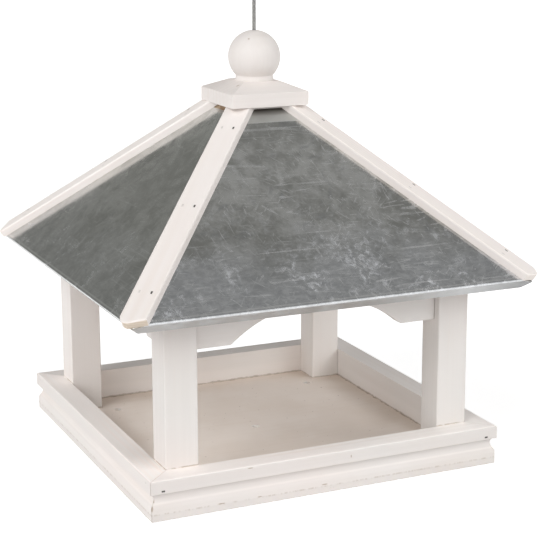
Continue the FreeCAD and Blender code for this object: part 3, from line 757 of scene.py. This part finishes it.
wire = metal("rope_wire", (0.480, 0.475, 0.460), (0.300, 0.295, 0.285), 0.30, 0.45, scale=900.0)
pressed = metal("ferrule_alloy", (0.680, 0.680, 0.670), (0.520, 0.520, 0.515), 0.32, 0.46, scale=350.0)
dress("batten_nails", nail_metal("batten_nail_steel", one_of_each_pair))
dress("rail_nails", nail_metal("rail_nail_steel", near_the_corners))
dress("post_screws", metal("screw_steel", *dark_steel, 0.38, 0.62, metallic=0.7))
dress("stop_washer", metal("washer_steel", (0.560, 0.560, 0.550), (0.400, 0.400, 0.390), 0.28, 0.42))
dress("stop_ferrule", pressed)
dress("loop_ferrule", pressed)
dress("rope_in_bore", wire)

# Wire rope: taut from the ball to the ferrule, round the eye and back into the ferrule
rope_thick = 3.0 * mm
route = [(0.0, 0.0, 323.5), (0.0, 0.0, 341.5), (0.0, 0.0, 353.5), (1.6, 0.0, 360.5), (1.6, 0.0, 369.2),
         (10.9, 0.0, 389.2), (7.7, 0.0, 397.1), (0.0, 0.0, 400.2), (-7.7, 0.0, 397.1), (-10.9, 0.0, 389.2),
         (-1.6, 0.0, 369.2), (-1.6, 0.0, 360.5)]
strand_count = 6
lay_length = 21.0 * mm
wires_round_strand = 6
wire_turns_per_metre = 170.0
strand_step = 0.6 * mm


def rope_route():
    """A line mesh along the rope's route."""
    data = bpy.data.curves.new("rope_line", "CURVE")
    data.dimensions = "3D"
    data.resolution_u = 12
    spline = data.splines.new("NURBS")
    spline.points.add(len(route) - 1)
    for point, at in zip(spline.points, route):
        point.co = (*[part * mm for part in at], 1.0)
    spline.order_u = 3
    spline.use_endpoint_u = True
    return bpy.data.meshes.new_from_object(bpy.data.objects.new("rope_line", data))


def strand_tree(finish):
    """Strands laid round a route, each with the ridges of its own wires."""
    tree = bpy.data.node_groups.new("rope_strands", "GeometryNodeTree")
    for label, kind in (("Geometry", "NodeSocketGeometry"), ("Strands", "NodeSocketInt"),
                        ("Lay Length", number), ("Ring Radius", number), ("Strand Radius", number),
                        ("Wires", number), ("Wire Turns", number), ("Step", number)):
        tree.interface.new_socket(label, in_out="INPUT", socket_type=kind)
    tree.interface.new_socket("Geometry", in_out="OUTPUT", socket_type="NodeSocketGeometry")
    come = tree.nodes.new("NodeGroupInput").outputs
    go = tree.nodes.new("NodeGroupOutput")

    core = put(tree, "GeometryNodeMeshToCurve", {"Mesh": come["Geometry"]}).outputs["Curve"]
    core = put(tree, "GeometryNodeResampleCurve", {"Curve": core, "Length": come["Step"]}, mode="LENGTH")
    many = put(tree, "GeometryNodeDuplicateElements", {
        "Geometry": core.outputs["Curve"], "Amount": come["Strands"]}, domain="SPLINE").outputs
    travelled = put(tree, "GeometryNodeSplineParameter").outputs["Length"]
    tangent = put(tree, "GeometryNodeInputTangent").outputs["Tangent"]
    normal = put(tree, "GeometryNodeInputNormal").outputs["Normal"]
    sidewise = arrows(tree, "CROSS_PRODUCT", tangent, normal)["Vector"]
    share = sums(tree, "DIVIDE", many["Duplicate Index"], come["Strands"])
    angle = times(tree, plus(tree, share, sums(tree, "DIVIDE", travelled, come["Lay Length"])), math.tau)
    over = arrows(tree, "SCALE", normal, scale=sums(tree, "COSINE", angle))["Vector"]
    across = arrows(tree, "SCALE", sidewise, scale=sums(tree, "SINE", angle))["Vector"]
    outward = arrows(tree, "ADD", over, across)["Vector"]
    offset = arrows(tree, "SCALE", outward, scale=come["Ring Radius"])["Vector"]
    moved = put(tree, "GeometryNodeSetPosition", {"Geometry": many["Geometry"], "Offset": offset})
    twist = times(tree, travelled, times(tree, come["Wire Turns"], math.tau))
    tilted = put(tree, "GeometryNodeSetCurveTilt", {"Curve": moved.outputs["Geometry"], "Tilt": twist})

    ring = put(tree, "GeometryNodeCurvePrimitiveCircle", {"Resolution": 24, "Radius": come["Strand Radius"]})
    spot = put(tree, "GeometryNodeInputPosition").outputs["Position"]
    parts = parts_of(tree, spot)
    lobes = times(tree, sums(tree, "ARCTAN2", parts["Y"], parts["X"]), come["Wires"])
    ridge = unsigned(tree, sums(tree, "COSINE", times(tree, lobes, 0.5)))
    ridge = plus(tree, 0.90, times(tree, ridge, 0.13))
    lobed = put(tree, "GeometryNodeSetPosition", {
        "Geometry": ring.outputs["Curve"], "Position": arrows(tree, "SCALE", spot, scale=ridge)["Vector"]})
    tube = put(tree, "GeometryNodeCurveToMesh", {
        "Curve": tilted.outputs["Curve"], "Profile Curve": lobed.outputs["Geometry"], "Fill Caps": True})
    solid = put(tree, "GeometryNodeRealizeInstances", {"Geometry": tube.outputs["Mesh"]})
    done = put(tree, "GeometryNodeSetMaterial", {"Geometry": solid.outputs["Geometry"], "Material": finish})
    tree.links.new(done.outputs["Geometry"], go.inputs["Geometry"])
    return tree


def grown(name, start, tree, sizes):
    """The mesh that a geometry tree makes from a start mesh, with its sizes set by name."""
    seed = bpy.data.objects.new(name + "_start", start)
    scene.collection.objects.link(seed)
    maker = seed.modifiers.new("maker", "NODES")
    maker.node_group = tree
    ids = {item.name: item.identifier for item in tree.interface.items_tree if item.in_out == "INPUT"}
    for label, value in sizes.items():
        maker[ids[label]] = value
    bpy.context.view_layer.update()
    mesh = bpy.data.meshes.new_from_object(seed.evaluated_get(bpy.context.evaluated_depsgraph_get()))
    seed.modifiers.remove(maker)
    bpy.data.objects.remove(seed)
    mesh.name = name
    piece = bpy.data.objects.new(name, mesh)
    scene.collection.objects.link(piece)
    return piece


line_mesh = rope_route()
strands = grown("wire_rope", line_mesh, strand_tree(wire),
                {"Strands": strand_count, "Lay Length": lay_length, "Ring Radius": rope_thick / 3,
                 "Strand Radius": rope_thick / 6, "Wires": float(wires_round_strand),
                 "Wire Turns": wire_turns_per_metre, "Step": strand_step})
for polygon in strands.data.polygons:
    polygon.use_smooth = True
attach(strands, "rope")
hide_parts("rope_free", "rope_loop")


def background_rays(tree):
    """True on rays that show the background: seen straight, in a mirror or through glass."""
    rays = tree.nodes.new("ShaderNodeLightPath").outputs
    indirect = sums(tree, "MAXIMUM", rays["Is Glossy Ray"], rays["Is Transmission Ray"])
    return sums(tree, "MAXIMUM", rays["Is Camera Ray"], indirect)


floor_half = 30.0
floor_drop = 0.6 * mm
floor_pale = ((0.86, 0.86, 0.86), (0.88, 0.88, 0.88))
floor_glow = 0.56


# Pale floor that keeps the shadow
def pale_floor():
    mesh = bpy.data.meshes.new("studio_floor")
    ring = [(-floor_half, -floor_half, 0), (floor_half, -floor_half, 0),
            (floor_half, floor_half, 0), (-floor_half, floor_half, 0)]
    mesh.from_pydata(ring, [], [(0, 1, 2, 3)])
    made = bpy.data.objects.new("studio_floor", mesh)
    made.location.z = -floor_drop
    scene.collection.objects.link(made)
    finish, tree, surface = material("studio_floor")
    body = tint(tree, speckle(tree, object_place(tree), 3.0), *floor_pale)
    tree.links.new(body, surface.inputs["Base Color"])
    surface.inputs["Roughness"].default_value = 0.9
    surface.inputs["Emission Color"].default_value = (1, 1, 1, 1)
    tree.links.new(times(tree, background_rays(tree), floor_glow), surface.inputs["Emission Strength"])
    mesh.materials.append(finish)
    return made


floor = pale_floor()

wall_white = (1.0, 1.0, 1.0)
ceiling_grey = (0.335, 0.335, 0.330)
card_grey = (0.265, 0.268, 0.255)
card_towards = Vector((-0.17, 0.85, 0.50)).normalized()
wall_light = (0.62, 0.62, 0.62)
no_light = (0.0, 0.0, 0.0)


# Studio: white walls, a dimmer ceiling and a grey card behind, which the left sheet mirrors
def studio_world():
    world = bpy.data.worlds.new("studio")
    world.use_nodes = True
    tree = world.node_tree
    tree.nodes.clear()
    direction = put(tree, "ShaderNodeTexCoord").outputs["Generated"]
    height = parts_of(tree, direction)["Z"]
    card = arrows(tree, "DOT_PRODUCT", direction, card_towards)["Value"]
    mirrored = tint(tree, spread(tree, height, 0.56, 0.76), wall_white, ceiling_grey)
    mirrored = tint(tree, spread(tree, card, 0.84, 0.93), mirrored, card_grey)
    lighting = tint(tree, spread(tree, height, 0.60, 0.80), wall_light, no_light)
    shown = tint(tree, background_rays(tree), lighting, mirrored)
    backing = put(tree, "ShaderNodeBackground", {"Color": shown})
    tree.links.new(backing.outputs[0], tree.nodes.new("ShaderNodeOutputWorld").inputs["Surface"])
    return world


scene.world = studio_world()
lamp_level = 1.035


# A lamp shines from a direction, is so many degrees wide, and stays out of the zinc's reflections
def soft_lamp(name, strength, width, comes_from):
    data = bpy.data.lights.new(name, "SUN")
    data.energy = strength * lamp_level
    data.angle = math.radians(width)
    lamp = bpy.data.objects.new(name, data)
    lamp.rotation_euler = Vector(comes_from).to_track_quat("Z", "Y").to_euler()
    lamp.visible_glossy = False
    scene.collection.objects.link(lamp)


soft_lamp("high_left", 0.91, 35.0, (-0.70, -0.25, 0.67))
soft_lamp("high_right", 0.69, 35.0, (0.55, -0.55, 0.63))
soft_lamp("left", 0.78, 40.0, (-0.85, -0.40, 0.38))
soft_lamp("right", 0.40, 40.0, (0.45, -0.82, 0.40))
soft_lamp("low_front", 0.24, 30.0, (-0.36, -0.92, 0.13))

scene.view_settings.view_transform = "Standard"
